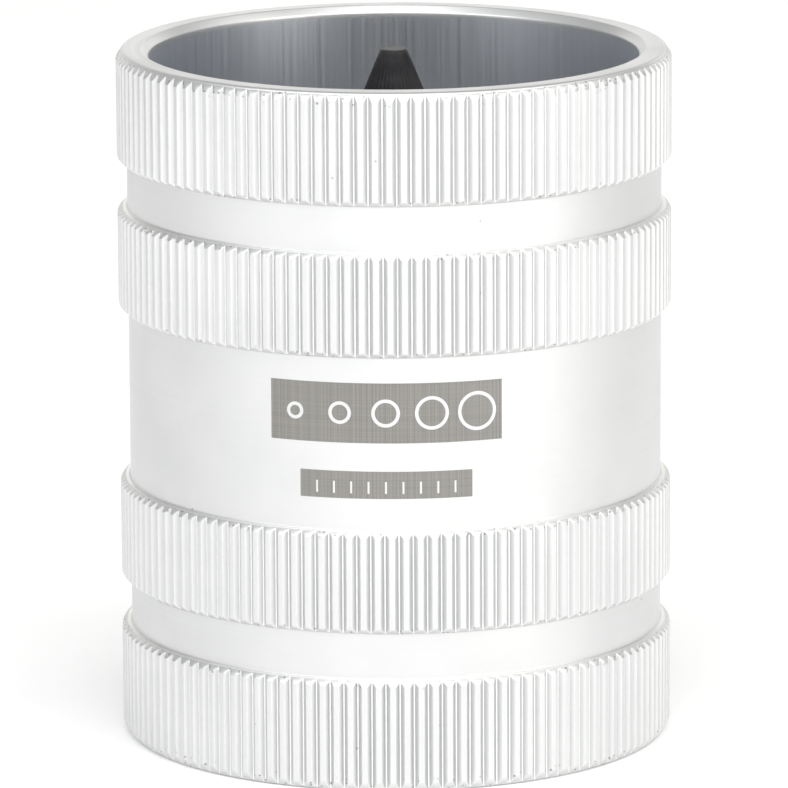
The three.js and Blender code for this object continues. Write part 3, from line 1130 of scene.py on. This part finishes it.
def add_soft_light(name, place, size, brightness, tint):
    """A rectangular soft light that faces the barrel and that the camera doesn't see."""
    data = bpy.data.lights.new(name, "AREA")
    data.shape = "RECTANGLE"
    data.size, data.size_y = size
    data.energy = math.pi * size[0] * size[1] * brightness
    data.color = tint
    light = add_object(name, data)
    light.location = place
    aim = Vector((0.0, 0.0, BARREL_LENGTH / 2))
    light.rotation_euler = (Vector(place) - aim).to_track_quat("Z", "Y").to_euler()
    light.visible_camera = False


def on_ring(turn, rise):
    """A place round the barrel: turn in degrees from the front to the right, rise in degrees."""
    turn = math.radians(turn)
    rise = math.radians(rise)
    flat = LIGHT_REACH * math.cos(rise)
    height = BARREL_LENGTH / 2 + LIGHT_REACH * math.sin(rise)
    return flat * math.sin(turn), -flat * math.cos(turn), height


def add_lights(stage):
    add_soft_light("top_soft_light", TOP_LIGHT_PLACE, TOP_LIGHT_SIZE, stage.top_strength, NEUTRAL)
    for rise, size, row in LIGHT_ROWS:
        for turn, brightness in row.items():
            name = f"soft_light_{rise:02d}_{turn % 360:03d}"
            tint = WARM if turn > 0 or turn == -150 else NEUTRAL
            add_soft_light(name, on_ring(turn, rise), size, brightness * stage.light_gain, tint)


def add_floor():
    """A wide floor disc that lies under the bottom end."""
    mesh = bpy.data.meshes.new("studio_floor")
    work = bmesh.new()
    bmesh.ops.create_circle(work, cap_ends=True, radius=6.0, segments=96)
    work.to_mesh(mesh)
    work.free()
    mesh.materials.append(studio_floor())
    floor = add_object("studio_floor", mesh)
    floor.location.z = -FLOOR_GAP


def light_sky(scene, strength):
    world = bpy.data.worlds.new("studio_sky")
    world.use_nodes = True
    background = world.node_tree.nodes["Background"]
    background.inputs["Color"].default_value = (1.0, 1.0, 1.0, 1.0)
    background.inputs["Strength"].default_value = strength
    scene.world = world


class DEBURRER_OT_stage(bpy.types.Operator):
    """Set up the floor, the soft lights and the camera"""

    bl_idname = "deburrer.add_stage"
    bl_label = "Stage"

    def execute(self, context):
        scene = context.scene
        stage = scene.deburrer_stage
        scene.view_settings.view_transform = "Standard"
        add_camera(stage)
        add_floor()
        light_sky(scene, stage.sky_strength)
        add_lights(stage)
        return {"FINISHED"}


# ---- panel and registration ----

OPERATORS = (
    DEBURRER_OT_stage,
    DEBURRER_OT_barrel,
    DEBURRER_OT_core,
    DEBURRER_OT_blades,
    DEBURRER_OT_comb_ring,
    DEBURRER_OT_retaining_ring,
)
SETTINGS = {
    "deburrer_grip": DeburrerGrip,
    "deburrer_bore": DeburrerBore,
    "deburrer_core": DeburrerCore,
    "deburrer_finish": DeburrerFinish,
    "deburrer_stage": DeburrerStage,
}


class DEBURRER_PT_panel(bpy.types.Panel):
    """Lists the operators and their sizes"""

    bl_idname = "DEBURRER_PT_panel"
    bl_label = "Tube deburrer"
    bl_space_type = "VIEW_3D"
    bl_region_type = "UI"
    bl_category = "Deburrer"

    def draw(self, context):
        for operator in OPERATORS:
            self.layout.operator(operator.bl_idname)
        for name, settings in SETTINGS.items():
            box = self.layout.box()
            box.label(text=name.removeprefix("deburrer_").capitalize())
            for label in settings.__annotations__:
                box.prop(getattr(context.scene, name), label)


def register():
    for added in (*SETTINGS.values(), *OPERATORS, DEBURRER_PT_panel):
        bpy.utils.register_class(added)
    for name, settings in SETTINGS.items():
        setattr(bpy.types.Scene, name, PointerProperty(type=settings))


def unregister():
    for name in SETTINGS:
        delattr(bpy.types.Scene, name)
    for added in (DEBURRER_PT_panel, *reversed(OPERATORS), *reversed(SETTINGS.values())):
        bpy.utils.unregister_class(added)


def main():
    register()
    bpy.ops.deburrer.add_stage()
    bpy.ops.deburrer.add_barrel()
    bpy.ops.deburrer.add_core()
    bpy.ops.deburrer.add_blades()
    bpy.ops.deburrer.add_comb_ring()
    bpy.ops.deburrer.add_retaining_ring()


if __name__ == "__main__":
    main()
